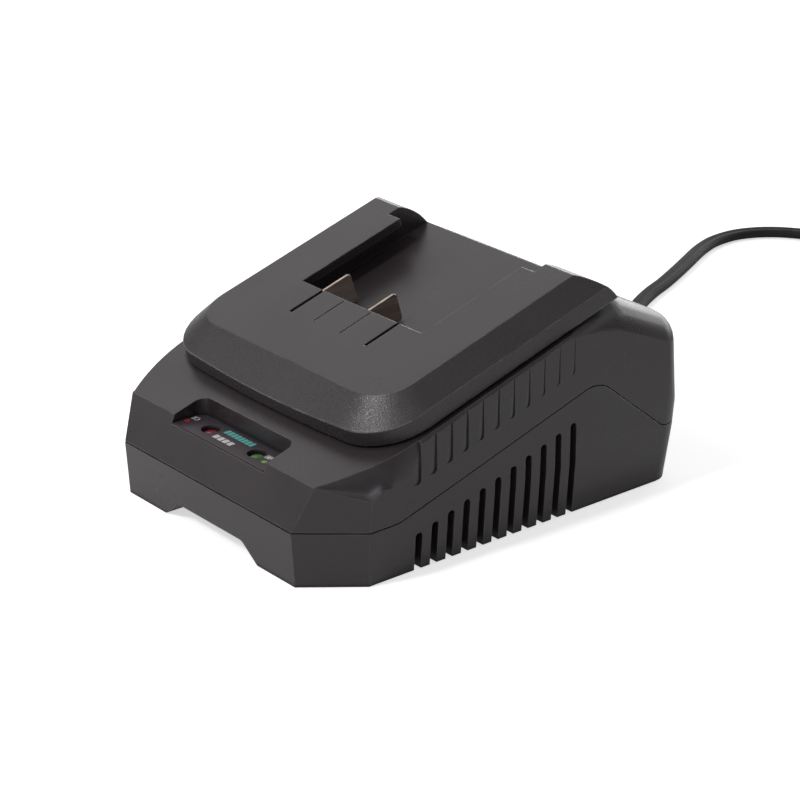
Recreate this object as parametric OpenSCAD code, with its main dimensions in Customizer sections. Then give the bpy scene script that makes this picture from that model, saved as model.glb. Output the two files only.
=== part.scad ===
// Charging base for slide-on cordless tool batteries.
// Units are millimetres. +Z is up, the front with the lamps faces -Y, and the
// origin is the middle of the housing's footprint.

/* [Housing] */
// Overall width of the housing
housing_w = 105; // [100:1:112]
// Overall length of the housing, front to back
housing_l = 133; // [128:1:142]
// Wall thickness of the two housing mouldings
wall = 2.5; // [2:0.1:3]
// Height of the joint line between the two mouldings at the front
seam_z = 16; // [15:0.25:18]
// Width of the open joint line
seam_gap = 0.35; // [0.2:0.05:0.5]
// How far the foot is drawn in below the joint line
foot_draft = 1.1; // [0.6:0.1:1.6]
// Width of the front corner facet, across the housing
facet_w = 13.4; // [11:0.2:15]
// Length of the front corner facet, along the side
facet_l = 16.2; // [13:0.2:18]
// Radius of the upright rear corners
rear_r = 7; // [5:0.5:8]
// Radius of the rear shoulder
shoulder_r = 12; // [10:0.5:13]

/* [Deck] */
// Slope of the deck and of the battery dock, in degrees
tilt = 16.9; // [15:0.1:18]
// Height of the deck's front edge
deck_front_z = 29; // [28:0.5:30]
// How far the front face leans back between joint line and deck
front_lean = 5.5; // [4:0.25:7]
// Half width of the deck's front edge
deck_front_hw = 42.1; // [40:0.1:43]
// Drop of the hollow at each front corner, along the facet
scoop_drop = 4.2; // [3.5:0.1:5]
// How hollow it is, from flat to fully dished
scoop_hollow = 0.6; // [0.3:0.05:0.7]

/* [Indicator window] */
// Width of the lamp recess
window_w = 43; // [41:0.5:46]
// Height of the lamp recess floor
window_z = 26.5; // [26:0.1:27]
// Distance of the recess back wall from the deck's front edge
window_l = 10.2; // [9.5:0.1:11]
// Spacing of the two lamps
led_pitch = 21.5; // [18:0.5:24]
// Diameter of a lamp
led_d = 5; // [4:0.5:5.5]

/* [Battery dock] */
// Height of the dock's top face above the deck
dock_h = 11.1; // [10.5:0.1:12]
// Half width of the dock's flat top
dock_top_hw = 43.5; // [42:0.1:45]
// Half width of the dock at its skirt
dock_hw = 50.2; // [49:0.1:50.8]
// Half width of the slot between the two slide lips
slot_hw = 26.9; // [25:0.1:28]
// Depth of the undercut below each lip
lip_reach = 5.3; // [4:0.1:6]
// Thickness of the slide lips
lip_t = 2.7; // [2.2:0.1:3.2]
// Depth of the channel floor below the dock's top
channel_d = 9.9; // [9:0.1:10.5]
// Wall thickness of the dock moulding
dock_wall = 2.3; // [2:0.1:2.5]
// Slope of the dock's bevelled rim, in degrees
bevel_angle = 37.4; // [34:0.2:41]

/* [Contacts] */
// Thickness of the contact blades
blade_t = 0.8; // [0.6:0.1:1.2]
// Length of a blade's upper edge
blade_l = 10.5; // [8:0.5:12]
// Place of the positive blade across the dock
positive_x = -17.3; // [-19:0.1:-15]
// Place of the negative blade across the dock
negative_x = 3.4; // [2:0.1:6]

/* [Side pattern] */
// Number of vent slots, and of grip flutes, on each side
vent_count = 11; // [9:1:12]
// Spacing of the vent slots and flutes
vent_pitch = 5.56; // [5:0.02:5.8]
// Width of a vent slot
vent_w = 2.4; // [2:0.1:2.8]
// Height of the foremost vent slot
vent_front_h = 11.2; // [10:0.2:13]
// Width of a flute
flute_w = 3; // [2:0.1:4]
// Depth of a flute at its step
flute_d = 0.65; // [0.5:0.05:1.2]

/* [Circuit board] */
// Width of the main board
board_w = 84; // [80:1:88]
// Length of the main board
board_l = 83; // [80:1:85]
// Thickness of the main board
board_t = 1.6; // [1:0.1:2]
// Height of the board's underside
board_z = 8; // [7:0.5:9]

/* [Mains cord] */
// Width of the flat cord
cord_w = 5.4; // [5:0.1:6]
// Thickness of the flat cord
cord_t = 3.4; // [3:0.1:4]
// Length of the strain relief outside the rear wall
relief_l = 32; // [25:1:40]

/* [Hidden] */
$fn = 48;
eps = 0.01;
fit = 0.2;

// Main places, worked out from the sizes above
half_w = housing_w / 2;
half_l = housing_l / 2;
deck_front_y = -half_l + front_lean;
dock_z0 = deck_front_z - deck_front_y * tan(tilt) + dock_h / cos(tilt);
form_top = 64;
bulge_z = seam_z + 8;
bulge_in = 0.8;
rear_draft = 1.8;
side_lean = 0.8;
deck_chamfer = 1.1;
lean_k = front_lean / (deck_front_z - seam_z);
spread_k = (deck_front_hw - half_w + facet_w) / (deck_front_z - seam_z);
facet_k = 0.09;

// Height up to which the corner facets narrow, and their least width
facet_min = 2;
facet_top = min(form_top, seam_z + (facet_w - facet_min) / max(spread_k, eps));

// Rear edge: centres of the shoulder along the roll-over, from the deck back
shoulder_y = half_l - 26.2;
rear_seam_z = seam_z + 1.5;
seam_rise_y = -half_l + 26;
seam_crest_y = half_l - 34.3;
seam_fall_y = half_l - 8.8;
seam_lip = 1.5;

// Screw posts
post_r = 4;
post_z = 10;
front_post = [half_w - 11, -half_l + 27];
rear_post = [half_w - 10, half_l - 10.5];
screw_r = 1.5;
screw_head_r = 3;
counterbore_d = 5;

// Board
board_y = 9.5;
board_top = board_z + board_t;
board_hole = [board_w / 2 - 4.5, board_l / 2 - 4.5];
board_post_r = 3;
small_screw_r = 1.1;

// Cord exit in the rear wall, and the cord's route
exit_x = 16.5 - half_w;
exit_z = rear_seam_z;
neck_r = 4;
boot_r = 4.8;

function deck_z(y) = deck_front_z + (y - deck_front_y) * tan(tilt);

// A closed outline with its corners rounded: points are [x, y, radius]
function unit(v) = v / norm(v);
function flat(p) = [p[0], p[1]];
function corner_arc(a, p, b, r, n) =
    let (
        u = unit(a - p), v = unit(b - p),
        half = acos(u * v) / 2,
        c = p + unit(u + v) * r / sin(half),
        s = p + u * r / tan(half) - c,
        e = p + v * r / tan(half) - c,
        turn = 180 - 2 * half
    )
    [for (i = [0:n]) c + (s * sin((1 - i / n) * turn) + e * sin(i / n * turn)) / sin(turn)];
function rounded(pts, n = 6) =
    let (last = len(pts) - 1)
    [for (i = [0:last])
        let (
            p = pts[i],
            a = flat(pts[i == 0 ? last : i - 1]),
            b = flat(pts[i == last ? 0 : i + 1])
        )
        each (p[2] > 0 ? corner_arc(a, flat(p), b, p[2], n) : [flat(p)])];

// One horizontal section of the housing, drawn in by inset
function section(z, rear_y, side_hw, inset) =
    let (
        rise = z - seam_z,
        front_y = rise < 0 ? -half_l - rise * foot_draft / seam_z
            : -half_l + rise * lean_k,
        front_hw = half_w - facet_w + min(max(rise, 0) * spread_k, facet_w - facet_min),
        facet_y = -half_l + facet_l + max(rise, 0) * facet_k
            - min(rise, 0) * foot_draft / seam_z * 0.4,
        slant = norm([facet_w, facet_l]),
        fx = front_hw - inset * (1 - facet_w / slant) / (facet_l / slant),
        fy = facet_y + inset * (1 - facet_l / slant) / (facet_w / slant),
        sx = side_hw - inset,
        ry = rear_y - inset,
        r = max(rear_r - inset, 0.5)
    )
    rounded([
        [fx, front_y + inset, 0], [sx, fy, 0], [sx, ry, r],
        [-sx, ry, r], [-sx, fy, 0], [-fx, front_y + inset, 0]
    ]);

module slab(z, outline) translate([0, 0, z]) linear_extrude(eps) polygon(outline);

// The housing's faceted body without its roof, from z = low upwards
module body_form(inset = 0, low = 0) hull() {
    low_in = foot_draft * (1 - low / seam_z);
    slab(low, section(low, half_l - bulge_in - rear_draft * (1 - low / seam_z),
        half_w - low_in, inset));
    slab(seam_z, section(seam_z, half_l - bulge_in, half_w, inset));
    slab(bulge_z, section(bulge_z, half_l, half_w, inset));
    if (facet_top < form_top) slab(facet_top, section(facet_top, half_l,
        half_w - side_lean * (facet_top - bulge_z) / (form_top - bulge_z), inset));
    slab(form_top, section(form_top, half_l, half_w - side_lean, inset));
}

// The roof: the sloped deck, which rolls over into the rear wall
module roof_form(inset = 0) {
    side = half_w - inset;
    drop = inset / cos(tilt);
    edge = deck_chamfer;
    flat_end = vent_y(vent_count - 1) - 1;
    top = deck_z(shoulder_y) - shoulder_r / cos(tilt);
    // Each shoulder ball: y, z, radius
    balls = [
        [shoulder_y, top, shoulder_r], [half_l - 9.5, top - 5.8, 9.5],
        [half_l - rear_r, bulge_z, rear_r]
    ];
    hull() {
        for (e = [0, edge]) translate([e - side, 0, 0]) rotate([90, 0, 90])
            linear_extrude(2 * (side - e)) polygon([
                [-half_l - 5, -5], [flat_end, -5],
                [flat_end, deck_z(flat_end) - drop - (edge - e)],
                [-half_l - 5, deck_z(-half_l - 5) - drop - (edge - e)]
            ]);
        for (mirror_x = [-1, 1]) {
            for (c = balls) translate([mirror_x * (half_w - c[2]), c[0], c[1]])
                sphere(c[2] - inset, $fn = 32);
            translate([mirror_x * (half_w - rear_r), half_l - rear_r, -5])
                cylinder(h = 25, r = rear_r - inset, $fn = 32);
        }
    }
}

// Everything below the joint line, raised by lift
module below_seam(lift = 0) {
    line = rounded([
        [-half_l - 20, seam_z, 0], [seam_rise_y, seam_z, 16],
        [seam_crest_y, seam_z + (seam_crest_y - seam_rise_y) * tan(tilt), 10],
        [seam_fall_y, rear_seam_z, 5], [half_l + 20, rear_seam_z, 0],
        [half_l + 20, -20, 0], [-half_l - 20, -20, 0]
    ], 8);
    translate([-half_w - 10, 0, lift]) rotate([90, 0, 90])
        linear_extrude(housing_w + 20) polygon(line);
}

function vent_y(i) = -half_l + 33.4 + i * vent_pitch;
function vent_top(i) = vent_front_h + i * vent_pitch * tan(tilt);

module both_sides() {
    children();
    mirror([1, 0, 0]) children();
}

module at_posts() both_sides() {
    translate(front_post) children();
    translate(rear_post) children();
}

module at_board_holes() both_sides() {
    for (end = [-1, 1])
        translate([board_hole[0], board_y + end * board_hole[1], 0]) children();
}

// A slot through a side wall: a straight slot with a round top
module vent_cut(i) {
    depth = 6;
    top = vent_top(i);
    translate([half_w - depth, vent_y(i), 0]) rotate([90, 0, 90])
        linear_extrude(depth + 2) {
            translate([-vent_w / 2, -1]) square([vent_w, top - vent_w / 2 + 1]);
            translate([0, top - vent_w / 2]) circle(vent_w / 2);
        }
}

notch_h = 5.2;
notch_top_hw = 15.1;
notch_foot_hw = 21.6;
notch_l = 9;
notch_x = 0.6;

module notch_outline(grow = 0) polygon(rounded([
    [-notch_foot_hw - 12, -6, 0], [-notch_foot_hw - grow, 0, 4],
    [-notch_top_hw - grow, notch_h + grow, 3], [notch_top_hw + grow, notch_h + grow, 3],
    [notch_foot_hw + grow, 0, 4], [notch_foot_hw + 12, -6, 0]
]));

// Finger notch in the front foot
module notch(grow = 0) translate([notch_x, -half_l + notch_l + grow, 0])
    rotate([90, 0, 0]) linear_extrude(notch_l + grow + 5) notch_outline(grow);

module exit_bore(r, y0, length) translate([exit_x, y0, exit_z])
    rotate([-90, 0, 0]) cylinder(h = length, r = r);

module lower_housing() color([0.23, 0.22, 0.23]) difference() {
    union() {
        difference() {
            intersection() {
                body_form();
                below_seam();
            }
            body_form(wall, wall);
        }
        // Tongue that the upper moulding fits over
        intersection() {
            difference() {
                body_form(wall * 0.55, seam_z - 4);
                body_form(wall, seam_z - 5);
            }
            difference() {
                below_seam(seam_lip);
                below_seam(-seam_lip);
            }
        }
        intersection() {
            notch(wall);
            body_form();
        }
        at_posts() cylinder(h = post_z, r = post_r);
        at_board_holes() cylinder(h = board_z, r = board_post_r);
    }
    notch();
    both_sides() for (i = [0:vent_count - 1]) vent_cut(i);
    at_posts() {
        translate([0, 0, -1]) cylinder(h = counterbore_d + 1, r = screw_head_r + 0.5);
        cylinder(h = post_z + 1, r = screw_r + fit);
    }
    at_board_holes() translate([0, 0, wall]) cylinder(h = board_z, r = small_screw_r);
    exit_bore(neck_r, half_l - 2 * wall - 2, 3 * wall + 4);
}

// A shallow saw-tooth flute, deepest at its rear edge
module flute_cut(i) {
    low = deck_z(vent_y(i)) - 12;
    angle = atan(flute_d / flute_w);
    translate([half_w, vent_y(i) + 0.35 - flute_w, 0]) rotate([0, 0, angle])
        rotate([90, 0, 90]) linear_extrude(4) polygon(rounded([
            [0, low + 0.3, 0], [flute_w / cos(angle), low, 1.3],
            [flute_w / cos(angle), low + 30, 0], [0, low + 30, 0]
        ]));
}

// A solid through closed rings of points, one after the other; each end is a
// fan of triangles from the ring's first point
module loft(rings) {
    n = len(rings[0]);
    last = len(rings) - 1;
    polyhedron(points = [for (r = rings) each r], faces = concat(
        [for (k = [1:n - 2]) [0, k + 1, k]],
        [for (k = [1:n - 2]) [last * n, last * n + k, last * n + k + 1]],
        [for (i = [0:last - 1]) for (k = [0:n - 1])
            let (a = i * n + k, b = i * n + (k + 1) % n)
            each [[a, b, a + n], [b, b + n, a + n]]]
    ));
}

// Hollow below the deck's front corner: it starts as a point at the corner,
// deepens along the facet to a small ledge, then eases out into the side wall
// and ends at the first flute's step
scoop_end = vent_y(0) + 0.5;
scoop_corner = facet_l + 0.8;
scoop_step = 0.3;
function deck_edge_x(y) =
    let (end_x = half_w - deck_chamfer - scoop_step)
    end_x - (end_x - deck_front_hw) * pow((scoop_end - y) / (scoop_end - deck_front_y), 2);
function scoop_foot(y) =
    let (
        corner_y = -half_l + scoop_corner,
        t = (y - deck_front_y) / (corner_y - deck_front_y),
        back = y - corner_y,
        low = deck_front_z - scoop_drop
    )
    t < 1 ? [deck_front_hw + t * (half_w - deck_front_hw), deck_front_z - t * scoop_drop]
        : [half_w, low + min(0.62 * back, max(2.5 - 0.35 * (back - 4), 0.4))];
function scoop_bow(u, fade) =
    fade * ((1 - scoop_hollow) * u + scoop_hollow * pow(u, 4)) + (1 - fade) * (1 - pow(1 - u, 1.8));
function scoop_ring(y) =
    let (
        edge = [deck_edge_x(y), deck_z(y)],
        foot = scoop_foot(y) + [0.1, 0],
        fade = min(1, max(0, (7.5 - half_l - y + scoop_corner) / 3.5)),
        out = half_w + 4, n = 9
    )
    [for (p = concat(
            [[out, edge[1] + 3], edge + [-0.3, 3]],
            [for (i = [0:n]) let (u = i / n)
                edge + [(foot[0] - edge[0]) * scoop_bow(u, fade), (foot[1] - edge[1]) * u]],
            [[out, foot[1]]]
        )) [p[0], y, p[1]]];

module scoop_cut() loft(concat(
    [for (lead = [[-0.6, -1.2, 0.35], [0, 0, 0.15]])
        [for (p = scoop_ring(deck_front_y + 0.01)) p + lead]],
    [for (y = [2, 4, 6, 8, 9.8, 11.5, 12.8, 14.1, 15.3, 16.6, 18, 19.2, 21, 23, 25.5])
        scoop_ring(deck_front_y + y)],
    [scoop_ring(scoop_end)]
));

window_back_y = deck_front_y + window_l;
window_r = 3.3;
led_y = deck_front_y + 4.7;

module window_cut() translate([0, 0, window_z]) linear_extrude(20) polygon(rounded([
    [-window_w / 2, -half_l - 5, 0], [window_w / 2, -half_l - 5, 0],
    [window_w / 2, window_back_y, window_r], [-window_w / 2, window_back_y, window_r]
]));

module at_leds() for (side = [-1, 1]) translate([side * led_pitch / 2, led_y, 0]) children();

lamp_post = [window_w / 2 - 2, window_back_y - 4.5];
lamp_post_r = 2.2;
lamp_board_z = 17.2;
lamp_board_t = 1.2;
upper_post_r = post_r - 0.4;

module at_lamp_posts() both_sides() translate(lamp_post) children();

// The dock's own frame: x across, y up the slope, z square to its top face
module on_dock() translate([0, 0, dock_z0]) rotate([tilt, 0, 0]) children();

dock_opening_hw = slot_hw + lip_reach + dock_wall + 0.3;
dock_opening_front = -32;
dock_opening_rear = 33;
dock_post_x = dock_hw - 9.5;
dock_post_y = [-30, 24];

module at_dock_posts() both_sides() for (y = dock_post_y)
    translate([dock_post_x, y, 0]) children();

module upper_housing() color([0.25, 0.24, 0.25]) difference() {
    intersection() {
        body_form(0, post_z + fit);
        roof_form();
        union() {
            difference() {
                translate([-half_w - 5, -half_l - 5, post_z]) cube([housing_w + 10, housing_l + 10, 70]);
                difference() {
                    intersection() {
                        body_form(wall, post_z - 1);
                        roof_form(wall);
                    }
                    // Solid behind the hollows of the front corners
                    both_sides() translate([deck_front_hw - 6, -half_l, seam_z + 2])
                        cube([20, scoop_end + half_l + 1, 40]);
                }
            }
            // Floor and walls of the lamp recess
            translate([-window_w / 2 - wall, -half_l - 5, window_z - wall])
                cube([window_w + 2 * wall, window_back_y + half_l + wall + 5, 20]);
            at_posts() cylinder(h = form_top, r = upper_post_r);
            at_lamp_posts() translate([0, 0, lamp_board_z + lamp_board_t])
                cylinder(h = window_z - lamp_board_z - lamp_board_t - 1, r = lamp_post_r);
        }
    }
    difference() {
        below_seam(seam_gap);
        // The screw posts reach down through the joint line
        at_posts() cylinder(h = 50, r = upper_post_r);
        at_lamp_posts() cylinder(h = 50, r = lamp_post_r);
    }
    // Rebate for the lower moulding's tongue
    intersection() {
        difference() {
            body_form(wall * 0.55 - 0.15, seam_z - 6);
            at_posts() cylinder(h = 50, r = upper_post_r);
        }
        below_seam(seam_lip + 0.3);
    }
    both_sides() {
        scoop_cut();
        for (i = [0:vent_count - 1]) flute_cut(i);
    }
    window_cut();
    at_leds() translate([0, 0, window_z - wall - 1]) cylinder(h = wall + 2, r = led_d / 2 + 0.25);
    on_dock() translate([-dock_opening_hw, dock_opening_front, -dock_h - 2 * wall])
        cube([2 * dock_opening_hw, dock_opening_rear - dock_opening_front, 4 * wall]);
    on_dock() translate([0, 0, -dock_h - 2 * wall]) at_dock_posts()
        cylinder(h = 4 * wall, r = small_screw_r + fit);
    at_posts() cylinder(h = post_z + 14, r = screw_r - 0.1);
    at_lamp_posts() cylinder(h = window_z - wall, r = small_screw_r - 0.1);
    exit_bore(neck_r, half_l - 2 * wall - 2, 3 * wall + 4);
}

// Outline of the dock's flat top, grown outwards by d, and by more at the front
function dock_outline(d = 0) =
    let (x = dock_top_hw + d, front = -40.7 - 1.19 * d, rear = 60, r = 11.5 + d)
    rounded([[-x, rear, 0], [-x, front, r], [x, front, r], [x, rear, 0]], 10);

// Outline of the skirt, with a front that bows out a little
skirt_r = 17;
function skirt_outline(inset = 0) =
    let (x = dock_hw - inset, front = -49.5 + inset, r = skirt_r - inset, rear = 60, bow = 1, n = 8)
    concat(
        [[-x, rear]],
        corner_arc([-x, rear], [-x, front], [x, front], r, 10),
        [for (i = [1:n - 1])
            let (f = 2 * i / n - 1) [f * (x - r), front - bow * (1 - f * f)]],
        corner_arc([-x, front], [x, front], [x, rear], r, 10),
        [[x, rear]]
    );

skirt_gap = 0.8;
rim_r = 19.3;
rim_y = half_l - 37.5;
rim_at = [rim_y - 4.2, dock_z0 + rim_y * tan(tilt) - 18.8];

// Side profile of the dock: the sloped top, then the rolled rear end
module dock_profile(inset = 0) offset(delta = -inset) polygon(concat(
    [[-80, 0], [-80, dock_z0 - 80 * tan(tilt)]],
    [for (a = [77:-4:21]) rim_at + rim_r * [cos(a), sin(a)]],
    [[rim_at[0] + rim_r, 0]]
));

// The dock's outside: a bevelled block whose rear rolls over
module dock_form(inset = 0) intersection() {
    on_dock() hull() {
        drop = 18;
        translate([0, 0, -inset - eps]) linear_extrude(eps) polygon(dock_outline(-inset * 0.6));
        translate([0, 0, -inset - drop * tan(bevel_angle)]) linear_extrude(eps)
            polygon(dock_outline(drop - inset * 0.6));
    }
    on_dock() translate([0, 0, -dock_h - 1]) linear_extrude(dock_h + 2)
        polygon(skirt_outline(inset));
    rotate([90, 0, 90]) translate([0, 0, -60]) linear_extrude(120) dock_profile(inset);
}

channel_front = -11.9;
lip_end = 26.1;
channel_hw = slot_hw + lip_reach;
blade_y0 = channel_front - 0.3;
root_l = blade_l - 2;

module battery_dock() color([0.26, 0.25, 0.26]) difference() {
    union() {
        intersection() {
            dock_form();
            on_dock() translate([-60, -70, -dock_h + skirt_gap]) cube([120, 130, dock_h]);
        }
        // Channel floor, which drops into the opening of the deck
        on_dock() {
            translate([-dock_opening_hw + 0.3, dock_opening_front + 0.3, -channel_d - dock_wall])
                cube([2 * dock_opening_hw - 0.6, dock_opening_rear - dock_opening_front - 0.6,
                    dock_wall]);
            translate([-channel_hw - dock_wall, channel_front, -dock_h])
                cube([2 * (channel_hw + dock_wall), 39 - channel_front, dock_h - channel_d]);
            at_dock_posts() translate([0, 0, -dock_h]) cylinder(h = dock_h - 3, r = 3);
        }
    }
    // Hollow underside of the front block and of the two arms
    difference() {
        dock_form(dock_wall);
        on_dock() {
            translate([-channel_hw - dock_wall, channel_front - dock_wall, -20])
                cube([2 * (channel_hw + dock_wall), 80, 40]);
            at_dock_posts() translate([0, 0, -20]) cylinder(h = 40, r = 3);
            translate([-60, -70, -30]) cube([120, 130, 30 - channel_d - dock_wall]);
            translate([-dock_opening_hw + 0.3, dock_opening_front + 0.3, -channel_d - dock_wall - eps])
                cube([2 * dock_opening_hw - 0.6, -dock_opening_front, dock_wall]);
        }
    }
    on_dock() {
        // The slide channel: open between the lips, wider below them
        translate([-slot_hw, channel_front, -channel_d]) cube([2 * slot_hw, 80, 20]);
        translate([-channel_hw, channel_front, -channel_d])
            cube([2 * channel_hw, 80, channel_d - lip_t]);
        translate([-channel_hw, lip_end, -channel_d]) cube([2 * channel_hw, 80, 20]);
        // Slots and score lines for the battery's other contacts
        for (x = [-16.9, 16.9]) translate([x - 0.6, channel_front - 12.5, -6])
            cube([1.2, 13, 7]);
        for (x = [-6.7, 5.3]) translate([x - 0.2, channel_front - 12.2, -0.3])
            cube([0.4, 11.6, 1]);
        // Slits that the contact blades stand in
        for (x = [positive_x, negative_x])
            translate([x - blade_t / 2 - 0.1, blade_y0 - 0.2, -channel_d - 2 * dock_wall])
                cube([blade_t + 0.2, root_l + 0.4, 3 * dock_wall]);
        at_dock_posts() translate([0, 0, -dock_h - 1]) cylinder(h = 8, r = small_screw_r - 0.1);
    }
}

block_top = -channel_d - dock_wall;
block_h = 11;
block_l = 15;
block_x0 = positive_x - 7;
block_x1 = negative_x + 7;

module terminal_block() color([0.85, 0.84, 0.8]) on_dock() difference() {
    union() {
        translate([block_x0, blade_y0 - 0.8, block_top - block_h])
            cube([block_x1 - block_x0, block_l, block_h]);
        for (x = [block_x0 - 3, block_x1 - 1]) translate([x, blade_y0 + 3, block_top - 2.5])
            cube([4, block_l - 7, 2.5]);
    }
    for (x = [positive_x, negative_x])
        translate([x - blade_t / 2 - 0.05, blade_y0 - 0.05, block_top - block_h - 1])
            cube([blade_t + 0.1, root_l + 0.1, block_h + 2]);
    translate([(positive_x + negative_x) / 2 - 3.5, blade_y0 - 2, block_top - block_h - 1])
        cube([7, block_l + 2, block_h - 2]);
}

// A spring-bronze blade: rounded rear corners, a shorter root, solder tail
module blade(x) on_dock() translate([x - blade_t / 2, 0, 0]) rotate([90, 0, 90])
    linear_extrude(blade_t) {
        foot = block_top - block_h;
        tail = blade_y0 + 4;
        polygon(rounded([
            [blade_y0, foot, 0], [blade_y0, -0.2, 0.4], [blade_y0 + blade_l, -0.2, 1.2],
            [blade_y0 + blade_l, -channel_d + 0.6, 1.4], [blade_y0 + root_l, -channel_d + 0.6, 0],
            [blade_y0 + root_l, foot, 0],
            [tail + 4, foot, 0], [tail + 4, foot - 5, 0], [tail, foot - 5, 0], [tail, foot, 0]
        ]));
    }

module positive_blade() color([0.72, 0.63, 0.5]) blade(positive_x);
module negative_blade() color([0.72, 0.63, 0.5]) blade(negative_x);

module indicator_label() color([0.2, 0.18, 0.19]) difference() {
    translate([0, 0, window_z]) linear_extrude(0.3) polygon(rounded([
        [-window_w / 2 + 0.4, deck_front_y - 0.8, 0.5], [window_w / 2 - 0.4, deck_front_y - 0.8, 0.5],
        [window_w / 2 - 0.4, window_back_y - 0.4, window_r - 0.4],
        [-window_w / 2 + 0.4, window_back_y - 0.4, window_r - 0.4]
    ]));
    at_leds() cylinder(h = 40, r = led_d / 2 + 0.25);
}

module indicator_board() color([0.1, 0.35, 0.2]) difference() {
    translate([-window_w / 2 - 1, led_y - 5.5, lamp_board_z])
        cube([window_w + 2, 11, lamp_board_t]);
    at_lamp_posts() cylinder(h = 40, r = small_screw_r + fit);
}

// A round lamp: flange, barrel and domed top
module lamp(side) {
    base = lamp_board_z + lamp_board_t;
    top = window_z - 0.45;
    r = led_d / 2;
    translate([side * led_pitch / 2, led_y, base]) rotate_extrude() intersection() {
        union() {
            square([r + 0.4, 1]);
            square([r, top - base - r]);
            translate([0, top - base - r]) circle(r);
        }
        square([10, 20]);
    }
}

module red_led() color([0.7, 0.1, 0.1]) lamp(-1);
module green_led() color([0.2, 0.7, 0.2]) lamp(1);

module main_board() color([0.1, 0.35, 0.2]) difference() {
    translate([-board_w / 2, board_y - board_l / 2, board_z]) cube([board_w, board_l, board_t]);
    at_board_holes() translate([0, 0, board_z - 1])
        cylinder(h = board_t + 2, r = small_screw_r + fit);
}

module on_board(x, y) translate([x, board_y + y, board_top]) children();

// Switching transformer: E core round a bobbin that carries the windings
core_w = 33;
core_l = 13;
core_h = 27;
coil_w = 21;
transformer_at = [0, 14];

module transformer_core() color([0.2, 0.2, 0.22]) on_board(transformer_at[0], transformer_at[1])
    difference() {
        translate([-core_w / 2, -core_l / 2, 2]) cube([core_w, core_l, core_h]);
        for (x = [-coil_w / 2 - 0.1, 4.7]) translate([x, -core_l, 7])
            cube([coil_w / 2 - 4.6, 2 * core_l, core_h - 10]);
    }

module transformer_winding() color([0.85, 0.75, 0.3]) on_board(transformer_at[0], transformer_at[1])
    difference() {
        union() {
            translate([0, 0, 7.2]) linear_extrude(core_h - 10.4) polygon(rounded([
                [-coil_w / 2, -13, 4], [coil_w / 2, -13, 4],
                [coil_w / 2, 13, 4], [-coil_w / 2, 13, 4]
            ]));
            for (y = [-14.5, 8]) translate([-coil_w / 2, y, 0]) cube([coil_w, 6.5, 7.2]);
        }
        translate([-4.75, -core_l / 2 - 0.1, 6]) cube([9.5, core_l + 0.2, core_h]);
    }

// A capacitor can with a rolled groove near its foot
module can(r, h) rotate_extrude() difference() {
    polygon([[0, 0], [r, 0], [r, h - 0.6], [r - 0.6, h], [r - 2, h], [r - 2, h - 0.4], [0, h - 0.4]]);
    translate([r + 0.4, 3]) circle(0.9);
}

module bulk_capacitor() color([0.12, 0.14, 0.2]) on_board(-31, -4) can(9, 23);

module output_capacitors() color([0.12, 0.14, 0.2])
    for (x = [0, 13]) on_board(x, -31) can(5, 19);

module output_inductor() color([0.7, 0.45, 0.25]) on_board(-16, -31) rotate_extrude()
    polygon([[0, 0], [6.5, 0], [6.5, 2], [5, 2.6], [5, 11.4], [6.5, 12], [6.5, 14], [0, 14]]);

choke_at = [-29, 17];

module choke_core() color([0.2, 0.2, 0.22]) on_board(choke_at[0], choke_at[1])
    translate([0, 4, 11]) rotate([90, 0, 0]) rotate_extrude()
        translate([5, 0]) square([4, 8]);

module choke_winding() color([0.75, 0.45, 0.2]) on_board(choke_at[0], choke_at[1]) {
    difference() {
        translate([0, 5.5, 11]) rotate([90, 0, 0]) rotate_extrude() difference() {
            translate([3.2, 0]) square([7.2, 11]);
            translate([4.9, 1.4]) square([4.2, 8.2]);
        }
        for (z = [12, -14]) translate([-1.5, -8, 11 + z - 8]) cube([3, 16, 18]);
    }
    translate([-9, -6, 0]) cube([18, 12, 1.2]);
}

module film_capacitor() color([0.85, 0.7, 0.2]) on_board(1, 36.2)
    translate([-9, -4.25, 0]) cube([18, 8.5, 15]);

module varistor() color([0.2, 0.35, 0.7]) on_board(-13.5, 36.5) translate([0, 2, 6.5])
    rotate([90, 0, 0]) cylinder(h = 4, r = 5);

module fuse() on_board(-29, 36.5) {
    color([0.85, 0.85, 0.85]) for (x = [-10, 5]) translate([x, 0, 3.8]) {
        rotate([0, 90, 0]) cylinder(h = 5, r = 2.6);
        translate([1.5, -1.5, -3.8]) cube([2, 3, 3.8]);
    }
    color([0.9, 0.9, 0.8]) translate([-5, 0, 3.8]) rotate([0, 90, 0]) cylinder(h = 10, r = 2.2);
}

module bridge_rectifier() color([0.12, 0.12, 0.12]) on_board(23, 37) difference() {
    translate([-9, -2, 0]) cube([18, 4, 15]);
    translate([0, 3, 11]) rotate([90, 0, 0]) cylinder(h = 6, r = 1.6);
}

// Extruded heat sink: a flat back with a row of fins
module heat_sink(length, height) {
    translate([0, -length / 2, 0]) cube([2.5, length, height]);
    for (y = [-length / 2 : (length - 1.2) / 7 : length / 2 - 1])
        translate([2.4, y, 0]) cube([6.1, 1.2, height]);
}

module primary_heat_sink() color([0.75, 0.76, 0.78]) on_board(29, 12) heat_sink(34, 24);
module output_heat_sink() color([0.75, 0.76, 0.78]) on_board(29, -27) heat_sink(26, 18);

// A flat power device with its tab against the heat sink
module power_device(y, height) on_board(29, y) translate([-4.6, -5, height]) {
    cube([4.6, 10, 9]);
    translate([3.3, 0, 9]) cube([1.3, 10, 6]);
    for (leg = [1.6, 4.6, 7.6]) translate([1.2, leg, -height]) cube([0.7, 0.8, height]);
}

module power_transistor() color([0.13, 0.13, 0.13]) power_device(12, 6);
module output_diode() color([0.13, 0.13, 0.13]) power_device(-27, 2);

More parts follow.
